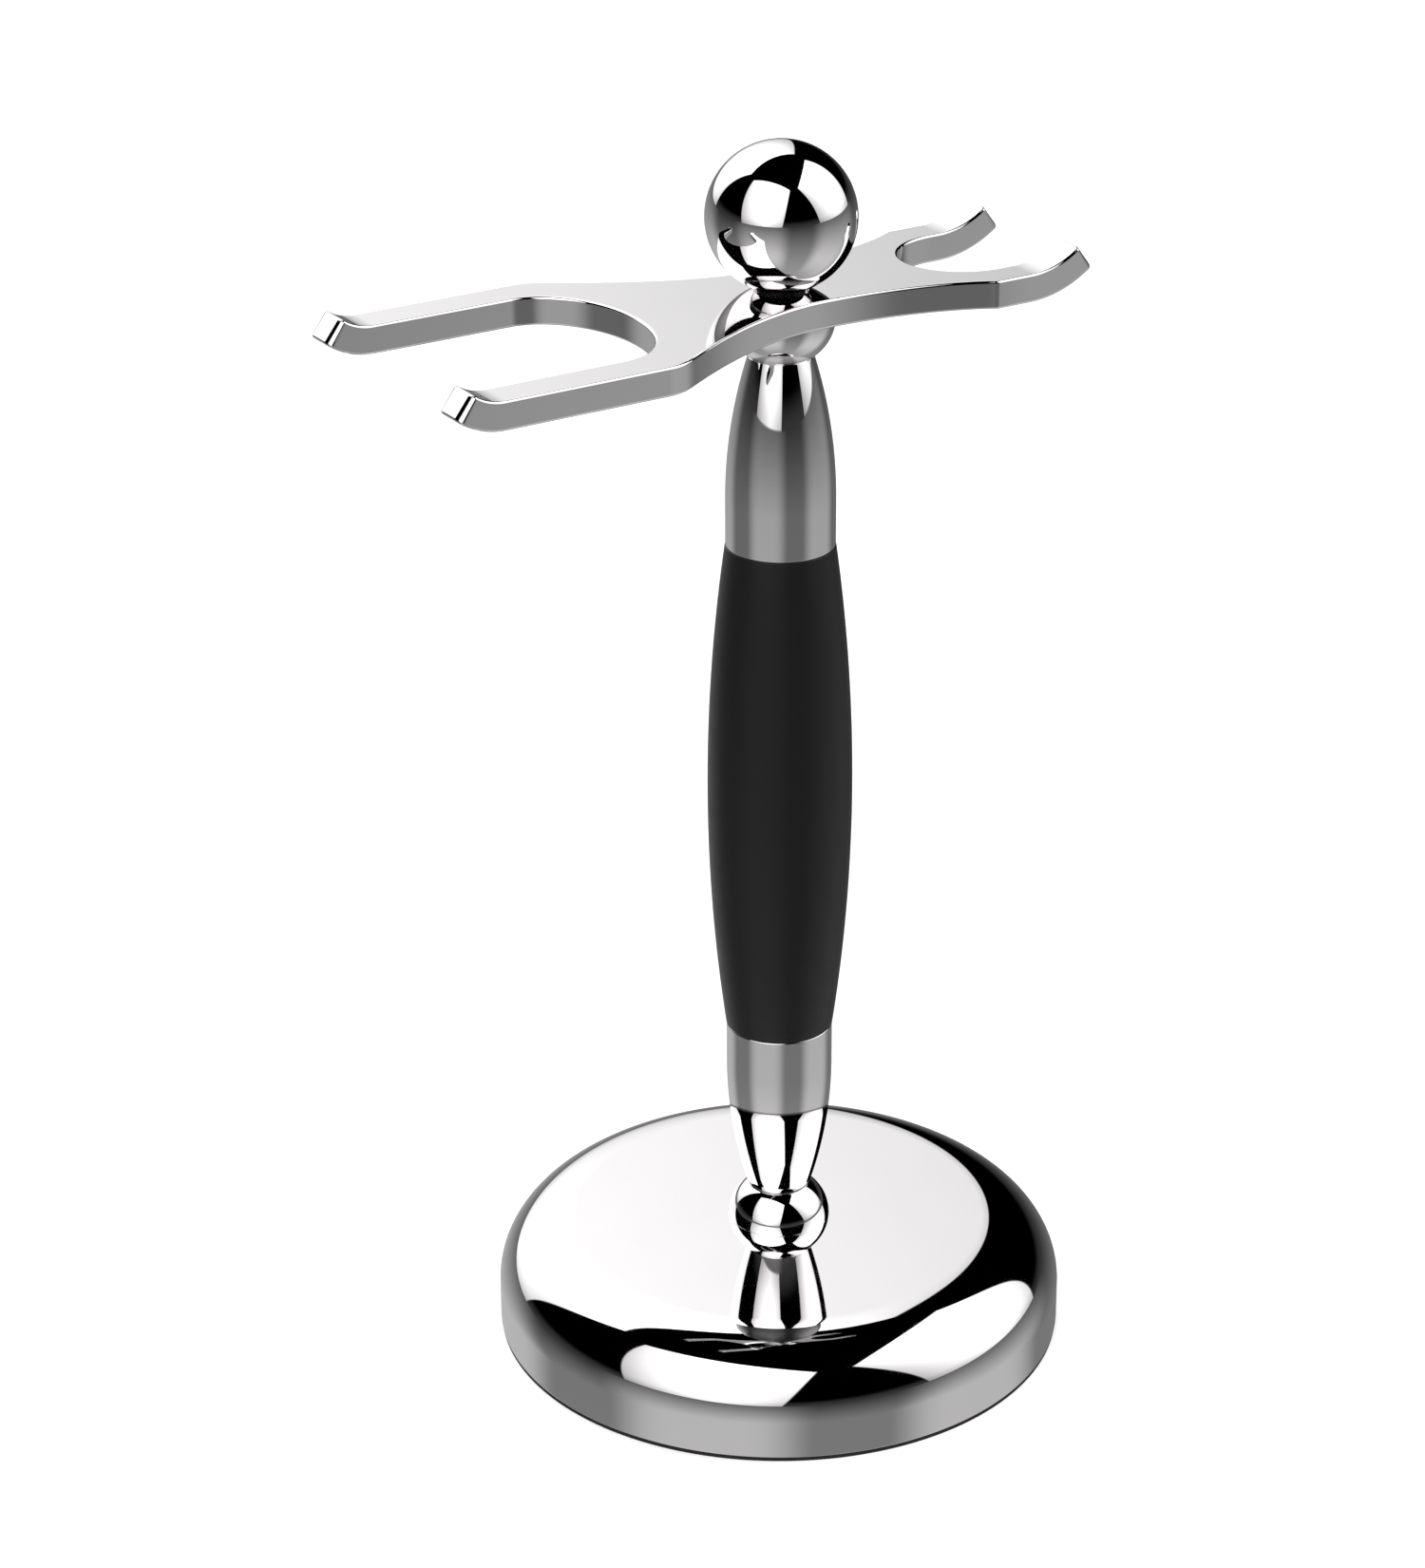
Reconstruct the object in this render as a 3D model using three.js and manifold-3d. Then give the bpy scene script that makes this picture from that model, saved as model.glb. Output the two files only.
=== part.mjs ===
// Razor and brush stand: a weighted round base, a turned stem with a resin grip,
// a double-ended fork plate and a ball finial that clamps the plate on the tie rod.
// Millimetres, +Z up. The origin is on the table, under the stem axis.
// +X points along the plate to the narrow razor fork, -X to the wide brush fork.

import * as THREE from 'three';
import { mergeVertices } from 'three/addons/utils/BufferGeometryUtils.js';
import Module from 'manifold-3d';

const wasm = await Module();
wasm.setup();

// ---------- driving dimensions ----------

// Base
const BASE_RADIUS = 35;
const BASE_TOP = 13.9;
const SHOULDER_WIDTH = 9.6;
const SHOULDER_HEIGHT = 8.5;
const SHELL_WALL = 2;
const RIM_BOTTOM = 0.5;
const RIM_CHAMFER = 0.4;
const PAD_RADIUS = 34.9;
const PAD_THICKNESS = 0.45;
const COVER_RADIUS = 32.7;
const COVER_THICKNESS = 1;
const WEIGHT_GAP = 0.2;
const POCKET_RADIUS = 7.5;

// Tie rod (M4) and its fasteners
const ROD_RADIUS = 2;
const TAPPED_RADIUS = 2.1;
const CLEAR_RADIUS = 2.25;
const ROD_CHAMFER = 0.4;
const ROD_END_ROOM = 0.3;
const NUT_ACROSS_FLATS = 7;
const NUT_HEIGHT = 3.2;
const SPRING_WASHER_RADIUS = 3.8;
const SPRING_WASHER_THICKNESS = 0.9;
const SPRING_WASHER_SPLIT = 0.25;
const FLAT_WASHER_RADIUS = 4.5;
const FLAT_WASHER_THICKNESS = 0.8;

// Stem, with a dome and a ferrule at each end of the grip
const DOME_RADIUS = 6.25;
const DOME_HEIGHT = 4.5;
const NECK_RADIUS = 3.8;
const LOWER_FERRULE_LENGTH = 22.6;
const UPPER_FERRULE_LENGTH = 23.1;
const FERRULE_RADIUS = 6.45;
const FERRULE_STRAIGHT = 5.5;
const SPIGOT_RADIUS = 4.9;
const SPIGOT_LENGTH = 4;
const GRIP_LENGTH = 62.4;
const GRIP_END_RADIUS = 6.5;
const GRIP_MIDDLE_RADIUS = 8.65;
const CORE_TUBE_RADIUS = 4;
const BOND_GAP = 0.1;

// Fork plate
const RUNNING_GAP = 0.05;
const PLATE_THICKNESS = 3.35;
const BRUSH_SLOT_HALF = 12.6;
const BRUSH_OUTER_HALF = 17.2;
const BRUSH_SLOT_CENTRE = -28;
const BRUSH_SLOT_DEPTH = 8.4;
const BRUSH_BEND_X = -45.2;
const BRUSH_BEND_RADIUS = 6.3;
const RAZOR_SLOT_HALF = 7.3;
const RAZOR_OUTER_HALF = 11.4;
const RAZOR_SLOT_CENTRE = 25.4;
const RAZOR_SLOT_DEPTH = 8.1;
const RAZOR_BEND_X = 26.8;
const RAZOR_BEND_RADIUS = 10.9;
const TIP_ANGLE = THREE.MathUtils.degToRad(37.5);
const TIP_OVERLAP = 1;

// The waist's +Y side from the brush fork to the razor fork, as [x, y] ends and handles
const WAIST_HALF = 6.8;
const BRUSH_EDGE_END = [-25.2, BRUSH_OUTER_HALF];
const BRUSH_SHOULDER = [-20.5, 15.3];
const WAIST_MIDDLE = [1.5, WAIST_HALF];
const RAZOR_CORNER = [22.3, RAZOR_OUTER_HALF];
const WAIST_CURVES = [
  [BRUSH_EDGE_END, [-23.2, BRUSH_OUTER_HALF], [-21.9, 16.2], BRUSH_SHOULDER],
  [BRUSH_SHOULDER, [-15, 11.8], [-6.5, WAIST_HALF], WAIST_MIDDLE],
  [WAIST_MIDDLE, [9, WAIST_HALF], [17, 8.3], RAZOR_CORNER],
];

// Finial
const FINIAL_WASHER_RADIUS = 2.75;
const FINIAL_WASHER_THICKNESS = 0.15;
const BALL_RADIUS = 8.7;
const BALL_SEAT_DEPTH = 8.1;
const BALL_HOLE_DEPTH = 8.8;
const ROD_IN_BALL = 7.65;

// Facets round a turned piece
const BASE_SEGMENTS = 48;
const STEM_SEGMENTS = 36;
const ROD_SEGMENTS = 24;

// Straight steps along each curve of an outline
const SHOULDER_STEPS = 10;
const INNER_SHOULDER_STEPS = 5;
const DOME_STEPS = 7;
const TAPER_STEPS = 8;
const GRIP_STEPS = 12;
const BALL_STEPS = 16;
const PLATE_CURVE_STEPS = 14;
const CURL_STEPS = 6;

const MERGE_TOLERANCE = 1e-5;

// ---------- heights along the stem, worked out from the above ----------

const COVER_BOTTOM = RIM_BOTTOM;
const COVER_TOP = COVER_BOTTOM + COVER_THICKNESS;
const ROD_BOTTOM = COVER_TOP + ROD_END_ROOM;
const NUT_BOTTOM = ROD_BOTTOM + ROD_END_ROOM;
const NUT_TOP = NUT_BOTTOM + NUT_HEIGHT;
const SPRING_WASHER_TOP = NUT_TOP + SPRING_WASHER_THICKNESS;
const POCKET_TOP = SPRING_WASHER_TOP + FLAT_WASHER_THICKNESS;
const LOWER_FERRULE_Z = BASE_TOP + DOME_HEIGHT;
const GRIP_Z = LOWER_FERRULE_Z + LOWER_FERRULE_LENGTH;
const UPPER_FERRULE_Z = GRIP_Z + GRIP_LENGTH;
const UPPER_DOME_Z = UPPER_FERRULE_Z + UPPER_FERRULE_LENGTH;
const STEM_TOP = UPPER_DOME_Z + DOME_HEIGHT;
const PLATE_BOTTOM = STEM_TOP + RUNNING_GAP;
const PLATE_TOP = PLATE_BOTTOM + PLATE_THICKNESS;
const FINIAL_WASHER_BOTTOM = PLATE_TOP + RUNNING_GAP;
const FINIAL_WASHER_TOP = FINIAL_WASHER_BOTTOM + FINIAL_WASHER_THICKNESS;
const BALL_SEAT = FINIAL_WASHER_TOP + RUNNING_GAP;
const BALL_CENTRE = BALL_SEAT + BALL_SEAT_DEPTH;
const ROD_TOP = BALL_SEAT + ROD_IN_BALL;

// ---------- materials ----------

const CHROME = { color: 0xd8dadc, roughness: 0.06, metalness: 1 };
const STEEL = { color: 0xa9abad, roughness: 0.35, metalness: 1 };
const CAST_IRON = { color: 0x4b4a49, roughness: 0.7, metalness: 0.9 };
const BRASS = { color: 0xb8923f, roughness: 0.35, metalness: 1 };
const BLACK_RESIN = { color: 0x151515, roughness: 0.3, metalness: 0 };
const BLACK_NYLON = { color: 0x101010, roughness: 0.5, metalness: 0 };
const FOAM_RUBBER = { color: 0x1a1a1a, roughness: 0.9, metalness: 0 };

// ---------- helpers ----------

// Leaves only the positions, shares equal vertices and drops collapsed triangles.
function tidied(geometry) {
  geometry.deleteAttribute('normal');
  geometry.deleteAttribute('uv');
  const merged = mergeVertices(geometry, MERGE_TOLERANCE);
  const corners = merged.index.array;
  const kept = [];
  for (let i = 0; i < corners.length; i += 3) {
    const [a, b, c] = [corners[i], corners[i + 1], corners[i + 2]];
    if (a !== b && b !== c && c !== a) kept.push(a, b, c);
  }
  merged.setIndex(kept);
  return merged;
}

function toManifold(geometry) {
  const merged = tidied(geometry);
  const vertProperties = new Float32Array(merged.attributes.position.array);
  const triVerts = new Uint32Array(merged.index.array);
  return new wasm.Manifold(new wasm.Mesh({ numProp: 3, vertProperties, triVerts }));
}

function fromManifold(solid) {
  const mesh = solid.getMesh();
  const geometry = new THREE.BufferGeometry();
  geometry.setAttribute('position', new THREE.BufferAttribute(mesh.vertProperties, 3));
  geometry.setIndex(new THREE.BufferAttribute(mesh.triVerts, 1));
  return geometry;
}

// A piece turned on the Z axis from an outline of [radius, height] points.
// The outline closes on itself, or starts and ends on the axis.
function turned(outline, segments) {
  const points = outline.map(([radius, height]) => new THREE.Vector2(radius, height));
  const onAxis = points[0].x === 0 && points.at(-1).x === 0;
  if (!onAxis) points.push(points[0].clone());
  if (THREE.ShapeUtils.area(points) < 0) points.reverse();
  const geometry = new THREE.LatheGeometry(points, segments);
  geometry.rotateX(Math.PI / 2);
  return tidied(geometry);
}

// Points on an elliptical arc in the [radius, height] plane, angles in degrees.
function arcPoints(centre, radii, fromDegrees, toDegrees, steps) {
  const points = [];
  for (let i = 0; i <= steps; i += 1) {
    const angle = THREE.MathUtils.degToRad(fromDegrees + ((toDegrees - fromDegrees) * i) / steps);
    points.push([centre[0] + radii[0] * Math.cos(angle), centre[1] + radii[1] * Math.sin(angle)]);
  }
  return points;
}

// A flat ring or washer lying between two heights.
function ring(innerRadius, outerRadius, bottom, top, segments) {
  const outline = [
    [innerRadius, bottom],
    [outerRadius, bottom],
    [outerRadius, top],
    [innerRadius, top],
  ];
  return turned(outline, segments);
}

// A flat disc with no hole, lying between two heights.
function disc(radius, bottom, top, segments) {
  const outline = [
    [0, bottom],
    [radius, bottom],
    [radius, top],
    [0, top],
  ];
  return turned(outline, segments);
}

function extruded(shape, bottom, height, curveSegments) {
  const geometry = new THREE.ExtrudeGeometry(shape, {
    depth: height,
    bevelEnabled: false,
    curveSegments,
  });
  geometry.translate(0, 0, bottom);
  return tidied(geometry);
}

// ---------- base ----------

// A chromed shell: flat top, elliptical shoulder, short upright wall, open underneath.
function baseShell() {
  const shoulderRadius = BASE_RADIUS - SHOULDER_WIDTH;
  const shoulderZ = BASE_TOP - SHOULDER_HEIGHT;
  const ceiling = BASE_TOP - SHELL_WALL;
  const centre = [shoulderRadius, shoulderZ];
  const outside = arcPoints(centre, [SHOULDER_WIDTH, SHOULDER_HEIGHT], 90, 0, SHOULDER_STEPS);
  const inside = arcPoints(
    centre,
    [SHOULDER_WIDTH - SHELL_WALL, SHOULDER_HEIGHT - SHELL_WALL],
    0,
    90,
    INNER_SHOULDER_STEPS,
  );
  const outline = [
    [CLEAR_RADIUS, BASE_TOP],
    ...outside,
    [BASE_RADIUS, RIM_BOTTOM + RIM_CHAMFER],
    [BASE_RADIUS - RIM_CHAMFER, RIM_BOTTOM],
    [BASE_RADIUS - SHELL_WALL, RIM_BOTTOM],
    ...inside,
    [CLEAR_RADIUS, ceiling],
  ];
  return turned(outline, BASE_SEGMENTS);
}

// The ballast fills the shell and has a pocket under it for the nut and washers.
function baseWeight() {
  const inset = SHELL_WALL + WEIGHT_GAP;
  const edge = arcPoints(
    [BASE_RADIUS - SHOULDER_WIDTH, BASE_TOP - SHOULDER_HEIGHT],
    [SHOULDER_WIDTH - inset, SHOULDER_HEIGHT - inset],
    0,
    90,
    INNER_SHOULDER_STEPS,
  );
  const outline = [
    [POCKET_RADIUS, COVER_TOP],
    [BASE_RADIUS - inset, COVER_TOP],
    ...edge,
    [CLEAR_RADIUS, BASE_TOP - inset],
    [CLEAR_RADIUS, POCKET_TOP],
    [POCKET_RADIUS, POCKET_TOP],
  ];
  return turned(outline, BASE_SEGMENTS);
}

function baseNut() {
  const cornerRadius = NUT_ACROSS_FLATS / Math.sqrt(3);
  const hexagon = new THREE.Shape();
  for (let corner = 0; corner < 6; corner += 1) {
    const angle = (corner * Math.PI) / 3;
    const place = [cornerRadius * Math.cos(angle), cornerRadius * Math.sin(angle)];
    if (corner === 0) hexagon.moveTo(...place);
    else hexagon.lineTo(...place);
  }
  hexagon.closePath();
  hexagon.holes.push(new THREE.Path().absarc(0, 0, TAPPED_RADIUS, 0, 2 * Math.PI, true));
  return extruded(hexagon, NUT_BOTTOM, NUT_HEIGHT, ROD_SEGMENTS);
}

// A split ring, open at its narrow cut.
function baseSpringWasher() {
  const start = SPRING_WASHER_SPLIT / 2;
  const end = 2 * Math.PI - start;
  const outline = new THREE.Shape();
  outline.absarc(0, 0, SPRING_WASHER_RADIUS, start, end, false);
  outline.absarc(0, 0, CLEAR_RADIUS, end, start, true);
  outline.closePath();
  return extruded(outline, NUT_TOP, SPRING_WASHER_THICKNESS, ROD_SEGMENTS);
}

// ---------- stem ----------

function tieRod() {
  const tip = ROD_RADIUS - ROD_CHAMFER;
  const outline = [
    [0, ROD_BOTTOM],
    [tip, ROD_BOTTOM],
    [ROD_RADIUS, ROD_BOTTOM + ROD_CHAMFER],
    [ROD_RADIUS, ROD_TOP - ROD_CHAMFER],
    [tip, ROD_TOP],
    [0, ROD_TOP],
  ];
  return turned(outline, ROD_SEGMENTS);
}

// A slightly flattened half ball cut off at the neck: the wide face is at height 0.
function domeOutline() {
  const neckAngle = Math.acos(NECK_RADIUS / DOME_RADIUS);
  const rise = DOME_HEIGHT / Math.sin(neckAngle);
  const skin = arcPoints(
    [0, 0],
    [DOME_RADIUS, rise],
    0,
    THREE.MathUtils.radToDeg(neckAngle),
    DOME_STEPS,
  );
  return [
    [CLEAR_RADIUS, 0],
    ...skin,
    [CLEAR_RADIUS, DOME_HEIGHT],
  ];
}

// A ferrule narrows in one long arc from its straight collar to the neck.
// Height 0 is the neck; the spigot stands above the collar.
function ferruleOutline(length, bore) {
  const taperLength = length - FERRULE_STRAIGHT;
  const drop = FERRULE_RADIUS - NECK_RADIUS;
  const arcRadius = (taperLength ** 2 + drop ** 2) / (2 * drop);
  const sweep = THREE.MathUtils.radToDeg(Math.asin(taperLength / arcRadius));
  const centre = [FERRULE_RADIUS - arcRadius, taperLength];
  const taper = arcPoints(centre, [arcRadius, arcRadius], -sweep, 0, TAPER_STEPS);
  return [
    [bore, 0],
    ...taper,
    [FERRULE_RADIUS, length],
    [SPIGOT_RADIUS, length],
    [SPIGOT_RADIUS, length + SPIGOT_LENGTH],
    [bore, length + SPIGOT_LENGTH],
  ];
}

function raised(outline, height) {
  return outline.map(([radius, z]) => [radius, height + z]);
}

function hung(outline, height) {
  return outline.map(([radius, z]) => [radius, height - z]);
}

// The grip swells in one circular arc and is counterbored at both ends for the spigots.
function grip() {
  const half = GRIP_LENGTH / 2;
  const swell = GRIP_MIDDLE_RADIUS - GRIP_END_RADIUS;
  const arcRadius = (half ** 2 + swell ** 2) / (2 * swell);
  const sweep = THREE.MathUtils.radToDeg(Math.asin(half / arcRadius));
  const centre = [GRIP_MIDDLE_RADIUS - arcRadius, GRIP_Z + half];
  const outside = arcPoints(centre, [arcRadius, arcRadius], -sweep, sweep, GRIP_STEPS);
  const socket = SPIGOT_RADIUS + BOND_GAP;
  const shelf = SPIGOT_LENGTH + BOND_GAP;
  const bore = CORE_TUBE_RADIUS + BOND_GAP;
  const outline = [
    [socket, GRIP_Z],
    ...outside,
    [socket, UPPER_FERRULE_Z],
    [socket, UPPER_FERRULE_Z - shelf],
    [bore, UPPER_FERRULE_Z - shelf],
    [bore, GRIP_Z + shelf],
    [socket, GRIP_Z + shelf],
  ];
  return turned(outline, STEM_SEGMENTS);
}

function gripCoreTube() {
  const bottom = GRIP_Z + SPIGOT_LENGTH;
  const top = UPPER_FERRULE_Z - SPIGOT_LENGTH;
  return ring(CLEAR_RADIUS, CORE_TUBE_RADIUS, bottom, top, STEM_SEGMENTS);
}

// ---------- fork plate ----------

// One side of the waist: side is 1 for +Y, and -1 for -Y, which runs the other way.
function addWaist(shape, side) {
  const placed = ([x, y]) => [x, side * y];
  const backward = WAIST_CURVES.map((curve) => curve.toReversed()).reverse();
  const curves = side > 0 ? WAIST_CURVES : backward;
  shape.lineTo(...placed(curves[0][0]));
  for (const curve of curves) shape.bezierCurveTo(...curve.slice(1).flatMap(placed));
}

// The flat part of the plate, as far as the lines where its tine ends start to curl.
function flatPlate() {
  const shape = new THREE.Shape();
  shape.moveTo(BRUSH_BEND_X, BRUSH_OUTER_HALF);
  addWaist(shape, 1);
  shape.lineTo(RAZOR_BEND_X, RAZOR_OUTER_HALF);
  shape.lineTo(RAZOR_BEND_X, RAZOR_SLOT_HALF);
  shape.lineTo(RAZOR_SLOT_CENTRE, RAZOR_SLOT_HALF);
  shape.absellipse(
    RAZOR_SLOT_CENTRE,
    0,
    RAZOR_SLOT_DEPTH,
    RAZOR_SLOT_HALF,
    Math.PI / 2,
    (3 * Math.PI) / 2,
    false,
  );
  shape.lineTo(RAZOR_BEND_X, -RAZOR_SLOT_HALF);
  shape.lineTo(RAZOR_BEND_X, -RAZOR_OUTER_HALF);
  addWaist(shape, -1);
  shape.lineTo(BRUSH_BEND_X, -BRUSH_OUTER_HALF);
  shape.lineTo(BRUSH_BEND_X, -BRUSH_SLOT_HALF);
  shape.lineTo(BRUSH_SLOT_CENTRE, -BRUSH_SLOT_HALF);
  shape.absellipse(
    BRUSH_SLOT_CENTRE,
    0,
    BRUSH_SLOT_DEPTH,
    BRUSH_SLOT_HALF,
    -Math.PI / 2,
    Math.PI / 2,
    false,
  );
  shape.lineTo(BRUSH_BEND_X, BRUSH_SLOT_HALF);
  shape.closePath();
  // The outline runs clockwise, so the hole runs the other way.
  shape.holes.push(new THREE.Path().absarc(0, 0, CLEAR_RADIUS, 0, 2 * Math.PI, false));
  return extruded(shape, PLATE_BOTTOM, PLATE_THICKNESS, PLATE_CURVE_STEPS);
}

// One upturned tine end, drawn from the side and given the tine's width.
// outward is 1 for the razor fork and -1 for the brush fork.
function curledTip(bendX, outward, bendRadius, nearY, farY) {
  const centreZ = PLATE_TOP + bendRadius;
  const underRadius = bendRadius + PLATE_THICKNESS;
  const flatEnd = -Math.PI / 2;
  const tipEnd = flatEnd + TIP_ANGLE;
  const side = new THREE.Shape();
  side.moveTo(-TIP_OVERLAP, PLATE_TOP);
  side.lineTo(-TIP_OVERLAP, PLATE_BOTTOM);
  side.absarc(0, centreZ, underRadius, flatEnd, tipEnd, false);
  side.absarc(0, centreZ, bendRadius, tipEnd, flatEnd, true);
  side.closePath();
  const geometry = new THREE.ExtrudeGeometry(side, {
    depth: farY - nearY,
    bevelEnabled: false,
    curveSegments: CURL_STEPS,
  });
  geometry.rotateX(Math.PI / 2);
  geometry.translate(0, farY, 0);
  if (outward < 0) geometry.rotateZ(Math.PI);
  geometry.translate(bendX, 0, 0);
  return geometry;
}

function forkPlate() {
  const tips = [
    curledTip(BRUSH_BEND_X, -1, BRUSH_BEND_RADIUS, BRUSH_SLOT_HALF, BRUSH_OUTER_HALF),
    curledTip(BRUSH_BEND_X, -1, BRUSH_BEND_RADIUS, -BRUSH_OUTER_HALF, -BRUSH_SLOT_HALF),
    curledTip(RAZOR_BEND_X, 1, RAZOR_BEND_RADIUS, RAZOR_SLOT_HALF, RAZOR_OUTER_HALF),
    curledTip(RAZOR_BEND_X, 1, RAZOR_BEND_RADIUS, -RAZOR_OUTER_HALF, -RAZOR_SLOT_HALF),
  ];
  let plate = toManifold(flatPlate());
  for (const tip of tips) plate = plate.add(toManifold(tip));
  return fromManifold(plate);
}

// ---------- finial ----------

// A ball with a small flat seat and a blind tapped hole up its middle.
function ballFinial() {
  const seatAngle = THREE.MathUtils.radToDeg(Math.asin(-BALL_SEAT_DEPTH / BALL_RADIUS));
  const skin = arcPoints([0, BALL_CENTRE], [BALL_RADIUS, BALL_RADIUS], seatAngle, 90, BALL_STEPS);
  skin[skin.length - 1][0] = 0;
  const outline = [
    [0, BALL_SEAT + BALL_HOLE_DEPTH],
    [TAPPED_RADIUS, BALL_SEAT + BALL_HOLE_DEPTH],
    [TAPPED_RADIUS, BALL_SEAT],
    ...skin,
  ];
  return turned(outline, STEM_SEGMENTS);
}

// ---------- assembly ----------

const stand = new THREE.Group();

function addPiece(name, geometry, material) {
  const mesh = new THREE.Mesh(geometry, new THREE.MeshStandardMaterial(material));
  mesh.name = name;
  stand.add(mesh);
}

addPiece('base_pad', disc(PAD_RADIUS, 0, PAD_THICKNESS, BASE_SEGMENTS), FOAM_RUBBER);
addPiece('base_cover', disc(COVER_RADIUS, COVER_BOTTOM, COVER_TOP, BASE_SEGMENTS), STEEL);
addPiece('base_weight', baseWeight(), CAST_IRON);
addPiece('base_shell', baseShell(), CHROME);
addPiece('base_nut', baseNut(), STEEL);
addPiece('base_spring_washer', baseSpringWasher(), STEEL);
addPiece(
  'base_flat_washer',
  ring(CLEAR_RADIUS, FLAT_WASHER_RADIUS, SPRING_WASHER_TOP, POCKET_TOP, ROD_SEGMENTS),
  STEEL,
);
addPiece('tie_rod', tieRod(), STEEL);
addPiece('lower_dome_collar', turned(raised(domeOutline(), BASE_TOP), STEM_SEGMENTS), CHROME);
addPiece(
  'lower_ferrule',
  turned(raised(ferruleOutline(LOWER_FERRULE_LENGTH, CLEAR_RADIUS), LOWER_FERRULE_Z), STEM_SEGMENTS),
  CHROME,
);
addPiece('grip_core_tube', gripCoreTube(), BRASS);
addPiece('grip', grip(), BLACK_RESIN);
addPiece(
  'upper_ferrule',
  turned(hung(ferruleOutline(UPPER_FERRULE_LENGTH, TAPPED_RADIUS), UPPER_DOME_Z), STEM_SEGMENTS),
  CHROME,
);
addPiece('upper_dome_collar', turned(hung(domeOutline(), STEM_TOP), STEM_SEGMENTS), CHROME);
addPiece('fork_plate', forkPlate(), CHROME);
addPiece(
  'finial_washer',
  ring(CLEAR_RADIUS, FINIAL_WASHER_RADIUS, FINIAL_WASHER_BOTTOM, FINIAL_WASHER_TOP, STEM_SEGMENTS),
  BLACK_NYLON,
);
addPiece('ball_finial', ballFinial(), CHROME);

export default stand;
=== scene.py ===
"""Razor and brush stand: chromed base, ferrules, fork plate and ball finial, with a black resin grip.

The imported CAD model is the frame. Every piece that shows is built here as a fine mesh in the same
place, with rounded edges, and stands for its CAD node. Lengths are in metres.
"""

import math

import bmesh
import bpy
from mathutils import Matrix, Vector
from mathutils.geometry import tessellate_polygon


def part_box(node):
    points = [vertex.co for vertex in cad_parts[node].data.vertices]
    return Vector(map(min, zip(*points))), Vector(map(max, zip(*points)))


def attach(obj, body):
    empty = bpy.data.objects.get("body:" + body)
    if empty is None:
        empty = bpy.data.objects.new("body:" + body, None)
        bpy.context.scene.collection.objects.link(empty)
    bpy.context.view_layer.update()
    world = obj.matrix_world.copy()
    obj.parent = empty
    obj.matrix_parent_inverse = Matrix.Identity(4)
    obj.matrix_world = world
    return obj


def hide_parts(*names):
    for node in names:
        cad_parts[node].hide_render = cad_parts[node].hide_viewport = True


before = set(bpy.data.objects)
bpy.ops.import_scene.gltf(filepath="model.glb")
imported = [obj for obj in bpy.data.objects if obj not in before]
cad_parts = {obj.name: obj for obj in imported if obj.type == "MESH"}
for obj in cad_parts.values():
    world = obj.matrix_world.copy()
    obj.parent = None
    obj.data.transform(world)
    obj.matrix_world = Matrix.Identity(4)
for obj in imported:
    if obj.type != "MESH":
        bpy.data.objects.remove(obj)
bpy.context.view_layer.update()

MM = 0.001

# ---------- sizes that the CAD nodes' boxes don't give ----------

BASE_SHOULDER = (9.6 * MM, 8.5 * MM)
SHELL_WALL = 2.0 * MM
ROD_HOLE = 2.25 * MM
ROD_CHAMFER = 0.4 * MM
TAPPED_HOLE = 2.1 * MM
THREAD_PITCH = 0.7 * MM
THREAD_DEPTH = 0.42 * MM
THREAD_CREST = 1.25
THREAD_FLANK = 2.5
THREADED_LENGTH = 15.0 * MM
FERRULE_COLLAR = 5.5 * MM
SPIGOT_RADIUS = 4.9 * MM
SPIGOT_LENGTH = 4.0 * MM
NECK_RADIUS = 3.8 * MM
GRIP_END_RADIUS = 6.5 * MM
GRIP_SOCKET = (5.0 * MM, 4.1 * MM)
GRIP_BORE = 4.1 * MM
BALL_RADIUS = 8.7 * MM
BALL_HOLE_DEPTH = 8.8 * MM

PLATE_THICKNESS = 3.35 * MM
PLATE_RIM = 0.32 * MM
TIP_ANGLE = math.radians(37.5)
TIP_CORNER = (0.6 * MM, 1.1 * MM)

# Cubic curves of the plate's +Y side between the forks, in millimetres.
WAIST_CURVES = (
    ((-25.2, 17.2), (-23.2, 17.2), (-21.9, 16.2), (-20.5, 15.3)),
    ((-20.5, 15.3), (-15.0, 11.8), (-6.5, 6.8), (1.5, 6.8)),
    ((1.5, 6.8), (9.0, 6.8), (17.0, 8.3), (22.3, 11.4)),
)

# ---------- radii of the rounded edges ----------

SHELL_EDGE = 0.2 * MM
PAD_EDGE = 0.1 * MM
COVER_EDGE = 0.15 * MM
DOME_EDGE = 0.08 * MM
FERRULE_EDGE = 0.18 * MM
GRIP_EDGE = 0.12 * MM
WASHER_EDGE = 0.05 * MM
BALL_EDGE = 0.05 * MM

# ---------- how finely curves are cut ----------

ROUND_SEGMENTS = 160
BALL_SEGMENTS = 192
WASHER_SEGMENTS = 96
ROD_SEGMENTS = 48
THREAD_ROWS = 10
HOLE_SEGMENTS = 64
SHOULDER_STEPS = 60
SHELL_INSIDE_STEPS = 20
DOME_STEPS = 36
FERRULE_STEPS = 40
GRIP_STEPS = 60
BALL_STEPS = 90
EDGE_STEPS = 5
BRUSH_SLOT_STEPS = 40
RAZOR_SLOT_STEPS = 32
WAIST_STEPS = (10, 30, 30)
CURL_STEPS = 14
TIP_STEPS = 12
RIM_STEPS = 6

SHARP_TURN = math.radians(20)
THREAD_CREASE = math.radians(35)
EDGE_SHARE = 0.45
ON_AXIS = 1e-9
SAME_POINT = 1e-7

# ---------- colours and roughness ----------

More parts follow.
